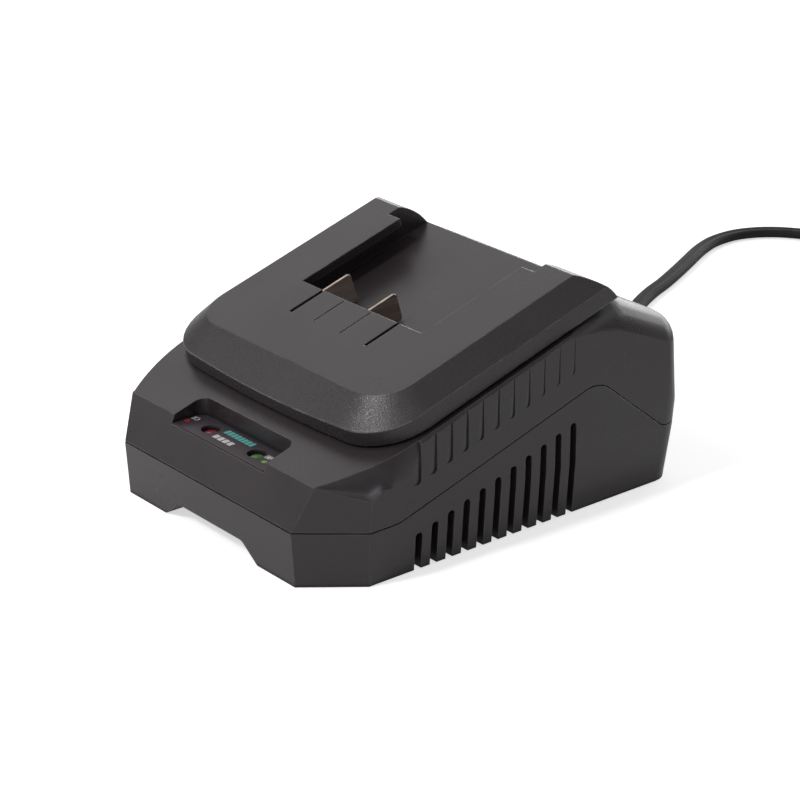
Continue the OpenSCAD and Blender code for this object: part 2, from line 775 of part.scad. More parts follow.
module control_chips() color([0.13, 0.13, 0.13]) {
    on_board(-29, -31) translate([-4, -10, 0]) cube([8, 20, 4]);
    on_board(-5, -14) translate([-3.2, -2.4, 0]) cube([6.4, 4.8, 4]);
    on_board(6, -14) translate([-3.2, -2.4, 0]) cube([6.4, 4.8, 4]);
}

// A tube swept along points; ring i is square to the path there
function path_dir(p, i) = unit(p[min(i + 1, len(p) - 1)] - p[max(i - 1, 0)]);
function spline(a, b, c, d, t) =
    0.5 * (2 * b + (c - a) * t + (2 * a - 5 * b + 4 * c - d) * t * t
        + (3 * b - a - 3 * c + d) * t * t * t);
function smooth(p, n) =
    let (last = len(p) - 1)
    [for (i = [0:last - 1]) for (k = [0:n - 1])
        spline(p[max(i - 1, 0)], p[i], p[i + 1], p[min(i + 2, last)], k / n),
     p[last]];

module tube(p, wide, high, sides = 8) loft([for (i = [0:len(p) - 1])
    let (
        dir = path_dir(p, i),
        across = unit(abs(dir[2]) > 0.95 ? cross(dir, [1, 0, 0]) : cross(dir, [0, 0, 1])),
        up = cross(across, dir)
    )
    [for (k = [0:sides - 1])
        let (a = (k + 0.5) * 360 / sides)
        p[i] + across * cos(a) * wide / 2 + up * sin(a) * high / 2]]);

wire_d = 1.8;
module wire(p) tube(smooth(p, 3), wire_d, wire_d, 6);

// A mains core from the strain relief to the rear edge of the board
module mains_core(side) {
    y0 = half_l - wall - 5;
    y1 = board_y + board_l / 2 - 1;
    wire([
        [exit_x + side * 1.2, y0, exit_z], [exit_x + side * 1.2, (2 * y0 + y1) / 3, exit_z - 1],
        [exit_x + side * 1.5, (y0 + 2 * y1) / 3, exit_z - 4], [exit_x + side * 1.5, y1, board_top]
    ]);
}

module mains_leads() {
    color([0.45, 0.3, 0.2]) mains_core(-1);
    color([0.2, 0.35, 0.7]) mains_core(1);
}

// World place of a point given in the dock's own frame
function from_dock(x, y, z) =
    [x, y * cos(tilt) - z * sin(tilt), dock_z0 + y * sin(tilt) + z * cos(tilt)];

module output_leads() {
    foot_y = board_y - board_l / 2 + 3;
    tail = from_dock(0, blade_y0 + 6, block_top - block_h - 5 - wire_d / 2 - 0.1);
    color([0.7, 0.12, 0.1]) wire([
        [positive_x, tail[1], tail[2]], [positive_x, tail[1] - 4, tail[2] - 0.6],
        [positive_x + 3, tail[1] - 10, tail[2] - 3], [-7, foot_y, 20], [-7, foot_y, board_top]
    ]);
    color([0.1, 0.1, 0.1]) wire([
        [negative_x, tail[1], tail[2]], [negative_x, tail[1] - 4, tail[2] - 0.6],
        [negative_x + 2, tail[1] - 10, tail[2] - 3], [6.5, foot_y, 20], [6.5, foot_y, board_top]
    ]);
}

module indicator_leads() color([0.85, 0.85, 0.8]) {
    rear_y = board_y - board_l / 2;
    for (x = [-2.4, 0, 2.4]) wire([
        [x, led_y + 3.5, lamp_board_z], [x, led_y + 4, lamp_board_z - 3],
        [x, (led_y + rear_y) / 2, board_top - 2], [x, rear_y - 1.2, board_top + 2],
        [x, rear_y + 1.2, board_top + 2.2], [x, rear_y + 2.2, board_top]
    ]);
}

// A pan-head screw standing on its head, with a cross recess
module screw(r, head_r, head_h, length) difference() {
    union() {
        cylinder(h = head_h, r = head_r);
        cylinder(h = head_h + length, r = r);
    }
    for (turn = [0, 90]) rotate([0, 0, turn]) translate([-head_r * 0.6, -0.4, -1])
        cube([head_r * 1.2, 0.8, 2]);
}

module housing_screws() color([0.6, 0.6, 0.62]) at_posts()
    translate([0, 0, counterbore_d - 2.4]) screw(screw_r - 0.15, screw_head_r, 2.4, 14);

module dock_screws() color([0.6, 0.6, 0.62]) on_dock() at_dock_posts()
    translate([0, 0, -dock_h - wall - 1.8]) screw(small_screw_r - 0.15, 2.3, 1.8, 7);

module board_screws() color([0.6, 0.6, 0.62]) {
    at_board_holes() translate([0, 0, board_top + 1.8]) mirror([0, 0, 1])
        screw(small_screw_r - 0.05, 2.3, 1.8, 6);
    at_lamp_posts() translate([0, 0, lamp_board_z - 1.8])
        screw(small_screw_r - 0.15, 2.3, 1.8, 5);
}

// Moulded strain relief: a grooved bush held by both mouldings, then a taper
module strain_relief() color([0.15, 0.15, 0.16]) {
    inner = wall + 2.2;
    translate([exit_x, half_l - bulge_in - inner - 1.4, exit_z]) rotate([-90, 0, 0])
        rotate_extrude() {
            bush = inner + 1.4;
            difference() {
                polygon([
                    [0, 0], [neck_r + 1.8, 0], [neck_r + 1.8, 2], [neck_r - 0.1, 2],
                    [neck_r - 0.1, bush + 0.4], [boot_r, bush + 0.4], [boot_r, bush + 3],
                    [cord_w / 2 + 0.4, bush + relief_l], [0, bush + relief_l]
                ]);
                for (i = [0:4]) translate([boot_r, bush + 6 + i * 4.4]) square([2.6, 2.2], center = true);
            }
        }
}

relief_end_y = half_l - bulge_in + relief_l;
floor_z = cord_t / 2;
cord_route = [
    [exit_x, relief_end_y, exit_z], [-36.5, 107, 15.5], [-38.5, 117, 11.5], [-41.5, 127, 7],
    [-45.5, 137, 3.5], [-50, 146.5, floor_z], [-54.5, 155, floor_z], [-58.5, 163.5, floor_z],
    [-62, 172.5, floor_z], [-66.5, 182.5, floor_z], [-72, 194, floor_z], [-78.5, 207.5, floor_z],
    [-82, 219, floor_z], [-81.5, 231, floor_z], [-75.5, 242, floor_z], [-64.5, 250.5, floor_z],
    [-50.5, 256.5, floor_z], [-36, 261, floor_z], [-20, 265.5, floor_z], [-4, 269.6, floor_z],
    [12.4, 272.9, floor_z]
];

coil_at = [20, 230];
coil_r = 30;
coil_lift = 0.8;
coil_turns = 4;
coil_w2 = coil_turns * (cord_w + 0.1) / 2;
coil_h = 2 * cord_t + 0.2;

module cord() color([0.2, 0.2, 0.2]) tube(smooth(cord_route, 2), cord_w, cord_t);

module cord_coil() color([0.2, 0.2, 0.2]) translate([coil_at[0], coil_at[1], coil_lift])
    rotate_extrude($fn = 72) translate([coil_r - coil_w2, 0]) polygon(rounded([
        [0, 0, 2.2], [2 * coil_w2, 0, 2.2], [2 * coil_w2, coil_h, 2.2], [0, coil_h, 2.2]
    ], 4));

// Cable tie round the coil
tie_w = 6;
tie_t = 0.7;
tie_angle = 215;
module cord_tie() color([0.1, 0.1, 0.1]) translate([coil_at[0], coil_at[1], 0])
    rotate([0, 0, tie_angle]) translate([coil_r, tie_w / 2, 0]) rotate([90, 0, 0])
        linear_extrude(tie_w) difference() {
            x = coil_w2 + 0.05;
            polygon(rounded([
                [-x - tie_t, 0.05, 1.5], [x + tie_t, 0.05, 1.5],
                [x + tie_t, coil_lift + coil_h + tie_t, 2], [-x - tie_t, coil_lift + coil_h + tie_t, 2]
            ]));
            translate([-x, coil_lift]) square([2 * x, coil_h + 0.05]);
        }

plug_at = [87, 220, 7];
plug_relief = 9;
plug_body_l = 36;
plug_route = [
    [54.8, 256.2, 5.9], [65, 252, 3.6], [75, 246, 2.2], [82, 238, 2.2], [86, 229, 4.4], plug_at
];

module cord_tail() color([0.2, 0.2, 0.2]) tube(smooth(plug_route, 2), cord_w, cord_t);

// Flat two-pin mains plug: a waisted body with a small strain relief
module mains_plug() color([0.15, 0.15, 0.16]) translate(plug_at) rotate([90, 0, 0]) {
    translate([0, 0, 0]) cylinder(h = plug_relief, r1 = cord_w / 2 + 0.6, r2 = 4.5);
    translate([0, 6.8, plug_relief - 0.5]) rotate([90, 0, 0]) linear_extrude(13.6)
        polygon(rounded([
            [-6, 0, 2], [6, 0, 2], [12, 12, 12], [17.6, 18, 3],
            [17.6, plug_body_l, 3], [-17.6, plug_body_l, 3], [-17.6, 18, 3], [-12, 12, 12]
        ]));
}

module plug_pins() translate([plug_at[0], plug_at[1] - plug_relief - plug_body_l + 0.5, plug_at[2]])
    rotate([90, 0, 0]) for (x = [-9.3, 9.3]) translate([x, 0, 0]) {
        color([0.15, 0.15, 0.16]) cylinder(h = 9, r = 1.9);
        color([0.8, 0.8, 0.82]) translate([0, 0, 9]) cylinder(h = 8, r = 2);
        color([0.8, 0.8, 0.82]) translate([0, 0, 17]) cylinder(h = 2, r1 = 2, r2 = 1);
    }

lower_housing();
upper_housing();
battery_dock();
terminal_block();
positive_blade();
negative_blade();
indicator_label();
indicator_board();
red_led();
green_led();
main_board();
transformer_core();
transformer_winding();
bulk_capacitor();
output_capacitors();
output_inductor();
choke_core();
choke_winding();
film_capacitor();
varistor();
fuse();
bridge_rectifier();
primary_heat_sink();
output_heat_sink();
power_transistor();
output_diode();
control_chips();
mains_leads();
output_leads();
indicator_leads();
housing_screws();
dock_screws();
board_screws();
strain_relief();
cord();
cord_coil();
cord_tail();
cord_tie();
mains_plug();
plug_pins();
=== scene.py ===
# %% [markdown]
# # A charging base for slide-on tool batteries
# The object is a low black housing in two mouldings, with a tilted dock on top that a battery
# slides into, two contact blades, two lamps behind a printed panel and a flat mains cord.
# The solids come from a CAD model in one fixed frame. This script dresses them: it rounds their
# edges, gives each surface its finish, and adds what is too fine for CAD.

# %% Load the solids
import math

import bmesh
import bpy
from mathutils import Matrix, Vector


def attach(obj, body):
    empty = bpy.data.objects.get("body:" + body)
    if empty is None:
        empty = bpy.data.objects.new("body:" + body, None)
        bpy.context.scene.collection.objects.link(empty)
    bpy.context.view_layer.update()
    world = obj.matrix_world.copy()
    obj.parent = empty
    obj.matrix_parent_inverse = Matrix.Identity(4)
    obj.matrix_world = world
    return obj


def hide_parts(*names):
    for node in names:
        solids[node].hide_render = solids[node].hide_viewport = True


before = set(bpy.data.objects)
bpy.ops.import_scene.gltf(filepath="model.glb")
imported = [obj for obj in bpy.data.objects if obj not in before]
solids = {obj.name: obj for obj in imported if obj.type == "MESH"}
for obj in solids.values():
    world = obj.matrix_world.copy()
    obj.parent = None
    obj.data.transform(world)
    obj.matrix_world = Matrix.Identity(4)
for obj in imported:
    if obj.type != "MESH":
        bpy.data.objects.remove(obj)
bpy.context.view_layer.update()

# %% [markdown]
# ## Camera
# A product shot like this is taken from some distance with a long lens, so that upright edges
# stay nearly parallel. The camera looks at a point a little above the middle of the base, from
# the front right and from above. It is made first, because the cord is laid out by its view.

# %% Camera
MM = 0.001
AZIMUTH, ELEVATION = math.radians(50.6118), math.radians(22.8591)


def make_camera(target, distance, focal_length):
    """A camera on a sphere round the target, with a 36 mm sensor."""
    data = bpy.data.cameras.new("camera")
    data.sensor_width, data.lens = 36, focal_length
    data.clip_start, data.clip_end = 0.05, 20
    camera = bpy.data.objects.new("camera", data)
    bpy.context.scene.collection.objects.link(camera)
    back = Vector((math.sin(AZIMUTH) * math.cos(ELEVATION),
                   -math.cos(AZIMUTH) * math.cos(ELEVATION), math.sin(ELEVATION)))
    camera.location = target + back * distance
    camera.rotation_mode = "QUATERNION"
    camera.rotation_quaternion = back.to_track_quat("Z", "Y")
    bpy.context.scene.camera = camera
    return camera


camera = make_camera(Vector((0, 2.99, 23.21)) * MM, 746.72 * MM, 116.137)
print("camera at", [round(c, 3) for c in camera.location])

# %% [markdown]
# ## Tools for finishes
# Every material is a small node tree. These helpers keep the trees short to read. The first one
# adds a node: a value given for an input is set, and a socket is linked. The next ones wrap the
# nodes that come back most: a sum, a stretched range, a mix of colours, a noise. Shared effects
# become shader groups, built once and placed with their own values.

# %% Node helpers
COLOUR, FLOAT, VECTOR = "NodeSocketColor", "NodeSocketFloat", "NodeSocketVector"


def add(tree, kind, values=None, **settings):
    """A node of that kind; values fill its inputs, by name or number, with values or sockets."""
    node = tree.nodes.new(kind)
    for key, value in settings.items():
        setattr(node, key, value)
    for key, value in (values or {}).items():
        if isinstance(value, bpy.types.NodeSocket):
            tree.links.new(value, node.inputs[key])
        else:
            node.inputs[key].default_value = value
    return node


def join(tree, *pairs):
    """Links (from socket, to socket) pairs."""
    for source, target in pairs:
        tree.links.new(source, target)


def calc(tree, operation, *values, clamp=False):
    """The result of a Math node."""
    return add(tree, "ShaderNodeMath", dict(enumerate(values)), operation=operation,
               use_clamp=clamp).outputs[0]


def remap(tree, value, low, high, new_low=0, new_high=1):
    """A value whose range from low to high is stretched to the new one and ends there."""
    return add(tree, "ShaderNodeMapRange", {
        "Value": value, "From Min": low, "From Max": high, "To Min": new_low,
        "To Max": new_high}).outputs[0]


def mix(tree, factor, first, second):
    """A mix of two colours."""
    return add(tree, "ShaderNodeMix", {"Factor": factor, "A": first, "B": second},
               data_type="RGBA").outputs["Result"]


def object_place(tree):
    """The place on the object, in metres."""
    return add(tree, "ShaderNodeTexCoord").outputs["Object"]


def noise(tree, place, scale, detail, roughness=0.5):
    """A cloudy value; scale counts its features per metre."""
    return add(tree, "ShaderNodeTexNoise", {
        "Vector": place, "Scale": scale, "Detail": detail, "Roughness": roughness}).outputs["Fac"]


def scaled(tree, colour, factor):
    """A colour made darker or lighter by a factor."""
    return add(tree, "ShaderNodeVectorMath", {0: colour, "Scale": factor},
               operation="SCALE").outputs[0]


def along(tree, vector, direction):
    """How far a vector reaches along a direction."""
    return add(tree, "ShaderNodeVectorMath", {0: vector, 1: direction},
               operation="DOT_PRODUCT").outputs["Value"]


def rgb(red, green, blue):
    """A colour written as 0 to 255 in sRGB, as the linear values that shaders use."""
    def linear(value):
        value /= 255
        return value / 12.92 if value <= 0.04045 else ((value + 0.055) / 1.055) ** 2.4
    return (linear(red), linear(green), linear(blue), 1)


def start_material(name, **sockets):
    """A material with an output and a Principled shader, whose constants are set here."""
    material = bpy.data.materials.new(name)
    material.use_nodes = True
    tree = material.node_tree
    tree.nodes.clear()
    shader = add(tree, "ShaderNodeBsdfPrincipled",
                 {key.replace("_", " "): value for key, value in sockets.items()})
    add(tree, "ShaderNodeOutputMaterial", {"Surface": shader.outputs["BSDF"]})
    return material, tree, shader


def make_group(name, inputs):
    """An empty shader group that gives a colour, a roughness and a normal."""
    tree = bpy.data.node_groups.new(name, "ShaderNodeTree")
    for label, kind, value in inputs:
        socket = tree.interface.new_socket(label, in_out="INPUT", socket_type=kind)
        socket.default_value = value
    for label, kind in (("Colour", COLOUR), ("Roughness", FLOAT), ("Normal", VECTOR)):
        tree.interface.new_socket(label, in_out="OUTPUT", socket_type=kind)
    return tree, tree.nodes.new("NodeGroupInput").outputs


def finish_group(tree, **sockets):
    """Puts a group's results out."""
    add(tree, "NodeGroupOutput", sockets)
    return tree


def from_group(name, group_tree, values, **sockets):
    """A material whose colour, roughness and normal come from a shader group."""
    material, tree, shader = start_material(name, **sockets)
    group = add(tree, "ShaderNodeGroup", values, node_tree=group_tree)
    join(tree, (group.outputs["Colour"], shader.inputs["Base Color"]),
         (group.outputs["Roughness"], shader.inputs["Roughness"]),
         (group.outputs["Normal"], shader.inputs["Normal"]))
    return material


def node_of(material, kind):
    """The one node of a kind in a material, such as its group or its shader."""
    return next(node for node in material.node_tree.nodes if node.type == kind)


# %% [markdown]
# ## Moulded grain
# The mouldings come out of a spark-eroded steel tool, which leaves a fine leathery grain. It is
# built from two sizes of noise: the grain itself, and a slow unevenness that makes one area a
# touch duller than the next. Edges that hands and batteries rub turn smoother, and their colour
# gets a painted highlight, broken up in streaks; the Bevel node gives them their place. Ambient
# Occlusion finds the inner corners, which stay unrubbed and dull and get painted shade.

# %% The moulded grain group


def build_grain():
    """Grain colour, roughness and normal, with painted highlights on rubbed edges and painted
    shade.
    """
    tree, given = make_group(
        "moulded_grain",
        [("Colour", COLOUR, (0.03, 0.03, 0.03, 1)), ("Roughness", FLOAT, 0.45),
         ("Grain size", FLOAT, 0.4), ("Grain depth", FLOAT, 0.3), ("Sheen and wear", FLOAT, 0.3),
         ("Edge", FLOAT, 0.4)])
    place = object_place(tree)
    # Grain size comes in millimetres and the noise counts features per metre
    grain = noise(tree, place, calc(tree, "DIVIDE", 1000, given["Grain size"]), 3, 0.62)
    patches = noise(tree, place, 38, 2)
    streaks = noise(tree, place, 160, 4)
    # Where the rounded normal and the flat one differ, there is an edge
    rounded = add(tree, "ShaderNodeBevel", {"Radius": calc(tree, "MULTIPLY", given["Edge"], MM)},
                  samples=4).outputs[0]
    flat = add(tree, "ShaderNodeNewGeometry").outputs["Normal"]
    edge = remap(tree, along(tree, rounded, flat), 0.995, 0.86)
    # Inner corners are out of reach of hands, and their colour gets painted shade
    corner = add(tree, "ShaderNodeAmbientOcclusion", {"Distance": 1.6 * MM}, samples=6)
    opened = remap(tree, corner.outputs["AO"], 0.6, 0.95)
    # Rubbed edges, broken up in streaks: smoother, and lighter as a painted highlight
    rubbed_and_sheen = calc(tree, "MULTIPLY", edge, remap(tree, streaks, 0.25, 0.55))
    sheen_and_wear = calc(tree, "MULTIPLY", calc(tree, "MULTIPLY", rubbed_and_sheen, opened), given["Sheen and wear"],
                clamp=True)
    # Colour: darker in the pits of the grain, with painted shade in inner corners and a painted
    # highlight on the rubbed edges
    pits = remap(tree, grain, 0.3, 0.7, 0.88, 1.1)
    tone = calc(tree, "MULTIPLY", pits, remap(tree, patches, 0.3, 0.7, 0.94, 1.06))
    # Painted shade: the colour darkens towards inner corners, down to a fifth
    shade = calc(tree, "MULTIPLY", tone, remap(tree, opened, 0, 1, 0.2, 1))
    # Painted highlight: the edges are mixed towards a light grey
    colour = mix(tree, sheen_and_wear, scaled(tree, given["Colour"], shade), (0.3, 0.29, 0.29, 1))
    # Roughness: patchy, smoother on rubbed edges, and glittering where the grain is deep
    glitter = calc(tree, "MULTIPLY_ADD", remap(tree, grain, 0.35, 0.65, 0.1, -0.1),
                   given["Grain depth"], remap(tree, patches, 0.3, 0.7, -0.05, 0.05))
    rough = calc(tree, "ADD", calc(tree, "ADD", given["Roughness"], glitter),
                 remap(tree, opened, 0, 1, 0.4, 0))
    rough = calc(tree, "ADD", rough, calc(tree, "MULTIPLY", sheen_and_wear, -0.2), clamp=True)
    bump = add(tree, "ShaderNodeBump", {
        "Strength": given["Grain depth"], "Distance": 0.12 * MM, "Height": grain,
        "Normal": rounded})
    return finish_group(tree, Colour=colour, Roughness=rough, Normal=bump.outputs[0])


grain_group = build_grain()


def grained(name, colour, roughness, size=0.4, depth=0.3, sheen_and_wear=0.3, edge=0.4, **sockets):
    """A moulded plastic or rubber finish; size and edge are in millimetres."""
    return from_group(name, grain_group, {
        "Colour": colour, "Roughness": roughness, "Grain size": size, "Grain depth": depth,
        "Sheen and wear": sheen_and_wear, "Edge": edge}, **sockets)


CHARCOAL = rgb(52, 46, 49)
# Both shells carry a painted highlight on their rubbed edges, strongest on the dock
housing_black = grained("housing_black", CHARCOAL, 0.31, size=0.34, depth=0.16, sheen_and_wear=0.55)
dock_black = grained("dock_black", CHARCOAL, 0.31, size=0.44, depth=0.2, sheen_and_wear=1, edge=0.6)
print("finishes so far:", housing_black.name, dock_black.name)

# %% [markdown]
# The rim of the dock shows a coarser, glittering grain than its flat top, because the tool was
# eroded harder there. A mask finds the rim by how far a face leans away from the dock's top,
# and deepens the grain only there.

# %% Coarser grain on the dock's rim
DOCK_TILT = math.radians(16.9)
DOCK_UP = (0, -math.sin(DOCK_TILT), math.cos(DOCK_TILT))


def deepen_rim(material, flat_depth, rim_depth):
    """A grain depth for faces that look along the dock's top, and one for those that lean."""
    tree = material.node_tree
    normal = add(tree, "ShaderNodeNewGeometry").outputs["Normal"]
    leaning = remap(tree, along(tree, normal, DOCK_UP), 0.97, 0.85)
    join(tree, (remap(tree, leaning, 0, 1, flat_depth, rim_depth),
                node_of(material, "GROUP").inputs["Grain depth"]))


deepen_rim(dock_black, 0.1, 0.85)
print("rim grain set on", dock_black.name)

# %% [markdown]
# ## Worked metal
# Rolled bronze, zinc-plated screws, drawn aluminium and tinned leads differ in colour, but all
# show fine marks along the way they were worked, and dull clouds where they have tarnished.
# Stretch squeezes the noise along the working direction, which turns it into streaks.

# %% The worked metal group


def build_metal():
    """Colour, roughness and normal of a worked metal."""
    tree, given = make_group(
        "worked_metal",
        [("Colour", COLOUR, (0.6, 0.6, 0.6, 1)), ("Tarnish colour", COLOUR, (0.2, 0.15, 0.1, 1)),
         ("Tarnish", FLOAT, 0.3), ("Roughness", FLOAT, 0.3), ("Stretch", VECTOR, (1, 1, 1)),
         ("Mark depth", FLOAT, 0.2)])
    place = object_place(tree)
    squeezed = add(tree, "ShaderNodeVectorMath", {0: place, 1: given["Stretch"]},
                   operation="MULTIPLY").outputs[0]
    streaks = noise(tree, squeezed, 1400, 4)
    clouds = noise(tree, place, 260, 3)
    dulled = calc(tree, "MULTIPLY", remap(tree, clouds, 0.4, 0.66), given["Tarnish"], clamp=True)
    colour = scaled(tree, mix(tree, dulled, given["Colour"], given["Tarnish colour"]),
                    remap(tree, streaks, 0.3, 0.7, 0.86, 1.1))
    marked = calc(tree, "ADD", given["Roughness"], remap(tree, streaks, 0.3, 0.7, -0.07, 0.07))
    rough = calc(tree, "MULTIPLY_ADD", dulled, 0.25, marked, clamp=True)
    bump = add(tree, "ShaderNodeBump", {
        "Strength": given["Mark depth"], "Distance": 0.04 * MM, "Height": streaks})
    return finish_group(tree, Colour=colour, Roughness=rough, Normal=bump.outputs[0])


metal_group = build_metal()


def metal(name, colour, roughness, stain=rgb(90, 80, 70), stretch=(1, 1, 1), tarnish=0.2):
    """A worked metal; stretch is small along the way it was rolled or drawn."""
    return from_group(name, metal_group, {
        "Colour": colour, "Tarnish colour": stain, "Tarnish": tarnish, "Roughness": roughness,
        "Stretch": stretch}, Metallic=1)


rolled_bronze = metal("rolled_bronze", rgb(206, 190, 176), 0.38, rgb(150, 130, 118),
                      stretch=(1, 0.04, 1), tarnish=0.4)
zinc_plate = metal("zinc_plate", rgb(186, 188, 194), 0.32, rgb(140, 138, 130), tarnish=0.3)
drawn_aluminium = metal("drawn_aluminium", rgb(206, 208, 212), 0.3, stretch=(1, 1, 0.03),
                        tarnish=0.15)
tinned = metal("tinned", rgb(196, 196, 194), 0.28, rgb(150, 148, 140), tarnish=0.35)
fuse_cap = metal("fuse_cap", rgb(202, 202, 204), 0.22, stretch=(0.05, 1, 1))
print("metals:", rolled_bronze.name, zinc_plate.name, drawn_aluminium.name, tinned.name)

# %% [markdown]
# ## Plastics, rubber and resins
# Everything that is moulded, dipped or sleeved takes the grain group again with its own colour,
# shine and size of grain. Shiny parts have a shallow, fine grain, and matt ones a deeper one.

# %% Plastics for the small parts
panel_film = grained("panel_film", rgb(60, 52, 57), 0.36, size=0.2, depth=0.06, sheen_and_wear=0, edge=0.1)
relief_rubber = grained("relief_rubber", rgb(42, 40, 41), 0.5, size=0.5, depth=0.2, sheen_and_wear=0.15)
plug_rubber = grained("plug_rubber", rgb(40, 38, 39), 0.45, size=0.6, depth=0.3, sheen_and_wear=0.3)
tie_nylon = grained("tie_nylon", rgb(30, 29, 30), 0.38, size=0.4, depth=0.1, sheen_and_wear=0.2, edge=0.2)
natural_nylon = grained("natural_nylon", rgb(214, 209, 194), 0.4, size=0.5, depth=0.1, sheen_and_wear=0)
sleeve_blue = grained("sleeve_blue", rgb(38, 44, 74), 0.22, size=1.2, depth=0.05, sheen_and_wear=0, edge=0.1)
film_yellow = grained("film_yellow", rgb(218, 176, 60), 0.28, size=0.8, depth=0.08, sheen_and_wear=0,
                      edge=0.2)
dipped_blue = grained("dipped_blue", rgb(44, 82, 168), 0.2, size=1.0, depth=0.12, sheen_and_wear=0, edge=0.2)
moulded_resin = grained("moulded_resin", rgb(36, 36, 37), 0.5, size=0.2, depth=0.25, sheen_and_wear=0,
                        edge=0.1)
ground_ferrite = grained("ground_ferrite", rgb(62, 62, 66), 0.55, size=0.25, depth=0.4, sheen_and_wear=0.5)
enamelled = grained("enamelled", rgb(172, 96, 48), 0.2, size=0.5, depth=0.05, sheen_and_wear=0, edge=0.1)
print("plastics and resins:", len(bpy.data.materials), "materials in all")

# %% [markdown]
# ## Two finishes on one solid
# Some solids hold two colours, such as the brown and the blue mains core, or a plug pin that is
# partly sleeved and partly bare metal. The border is a plane, so one coordinate tells the sides
# apart.

# %% Split finishes


def side_mask(tree, axis, place):
    """1 where the coordinate along the axis is above a place in millimetres, and 0 below."""
    return calc(tree, "GREATER_THAN", along(tree, object_place(tree), axis), place * MM)


def two_colours(material, axis, place, other):
    """The given finish, with another colour beyond a place along an axis."""
    tree = material.node_tree
    colour = node_of(material, "GROUP").inputs["Colour"]
    join(tree, (mix(tree, side_mask(tree, axis, place), tuple(colour.default_value), other),
                colour))
    return material


def metal_beyond(material, axis, place, colour):
    """A plastic finish that turns to bare metal beyond a place along an axis."""
    two_colours(material, axis, place, colour)
    join(material.node_tree, (side_mask(material.node_tree, axis, place),
                              node_of(material, "BSDF_PRINCIPLED").inputs["Metallic"]))
    return material


def soft_wire(name, colour):
    """The jacket of a thin wire."""
    return grained(name, colour, 0.42, size=0.7, depth=0.06, sheen_and_wear=0, edge=0.1)


mains_wire = two_colours(soft_wire("mains_wire", rgb(112, 66, 40)), (1, 0, 0), -36,
                         rgb(40, 78, 160))
output_wire = two_colours(soft_wire("output_wire", rgb(168, 34, 30)), (1, 0, 0), -1,
                          rgb(30, 30, 31))
sleeved_pin = metal_beyond(
    grained("sleeved_pin", rgb(40, 38, 39), 0.3, size=0.6, depth=0.05, sheen_and_wear=0),
    (0, -1, 0), -166.5, rgb(206, 200, 190))
tabbed_device = metal_beyond(
    grained("tabbed_device", rgb(36, 36, 37), 0.42, size=0.2, depth=0.2, sheen_and_wear=0),
    (0, 0, 1), 24.6, rgb(196, 196, 194))
print("split finishes:", mains_wire.name, output_wire.name, sleeved_pin.name, tabbed_device.name)

# %% [markdown]
# ## Lamps, circuit boards and tape
# The lamps are tinted epoxy, deep in colour, with a painted sheen that makes them lighter towards
# the rim, which Layer Weight gives. A circuit board is green resist over copper areas with thin
# gaps between them, which Voronoi cells draw well, with tinned pads among them. Tape on a
# winding shows the edge of each wrap as a fine band.

# %% Lamp, board and tape finishes


def lens(name, deep, rim):
    """Tinted epoxy, deep in colour, with a painted sheen that lightens it towards its rim."""
    material, tree, shader = start_material(
        name, Roughness=0.07, IOR=1.54, Transmission_Weight=0.25)
    # Painted sheen: lighter where the surface turns away from the view
    facing = add(tree, "ShaderNodeLayerWeight", {"Blend": 0.45}).outputs["Facing"]
    haze = remap(tree, noise(tree, object_place(tree), 900, 2), 0, 1, 0.8, 1.2)
    painted_rim_sheen = calc(tree, "MULTIPLY", facing, haze, clamp=True)
    join(tree, (mix(tree, painted_rim_sheen, deep, rim), shader.inputs["Base Color"]))
    return material


def board_finish():
    """Green resist over copper areas, with tinned pads."""
    material, tree, shader = start_material("board_green", Specular_IOR_Level=0.6)
    place = object_place(tree)
    gaps = add(tree, "ShaderNodeTexVoronoi", {"Vector": place, "Scale": 190},
               feature="DISTANCE_TO_EDGE")
    pads = add(tree, "ShaderNodeTexVoronoi", {"Vector": place, "Scale": 330, "Randomness": 0.35})
    copper = remap(tree, gaps.outputs["Distance"], 0.05, 0.09)
    pad = calc(tree, "LESS_THAN", pads.outputs["Distance"], 0.17)
    green = mix(tree, copper, rgb(22, 62, 38), rgb(36, 104, 60))
    bump = add(tree, "ShaderNodeBump", {"Strength": 0.5, "Distance": 0.05 * MM, "Height": copper})
    join(tree, (mix(tree, pad, green, rgb(188, 188, 184)), shader.inputs["Base Color"]),
         (pad, shader.inputs["Metallic"]),
         (remap(tree, copper, 0, 1, 0.42, 0.3), shader.inputs["Roughness"]),
         (bump.outputs[0], shader.inputs["Normal"]))
    return material


def tape_finish():
    """Yellow tape that shows the edge of each wrap."""
    material, tree, shader = start_material("yellow_tape", Coat_Weight=0.3, Coat_Roughness=0.2)
    wraps = add(tree, "ShaderNodeTexWave", {
        "Vector": object_place(tree), "Scale": 70, "Distortion": 0.6, "Detail": 2},
        wave_type="BANDS", bands_direction="Y", wave_profile="SAW").outputs["Fac"]
    bump = add(tree, "ShaderNodeBump", {"Strength": 0.4, "Distance": 0.1 * MM, "Height": wraps})
    join(tree, (mix(tree, wraps, rgb(196, 160, 48), rgb(226, 194, 84)),
                shader.inputs["Base Color"]),
         (remap(tree, wraps, 0, 1, 0.3, 0.42), shader.inputs["Roughness"]),
         (bump.outputs[0], shader.inputs["Normal"]))
    return material


# Each lamp's second colour is the painted sheen at its rim
red_epoxy = lens("red_epoxy", rgb(96, 12, 22), rgb(190, 70, 80))
green_epoxy = lens("green_epoxy", rgb(24, 74, 10), rgb(120, 190, 90))
board_green = board_finish()
yellow_tape = tape_finish()
print("lamp, board and tape finishes ready")

# %% [markdown]
# ## Mains cord
# The cord is a flat one with two cores, 5.4 by 3.4 mm and 1.9 m long. It leaves the tapered
# strain relief, sinks to the table and runs off behind the housing. What the view does not
# show is wound into a neat coil of eight turns and tied, with the plug beside it. It is a
# mesh swept along the route, because a flat section has to stay level on its way.

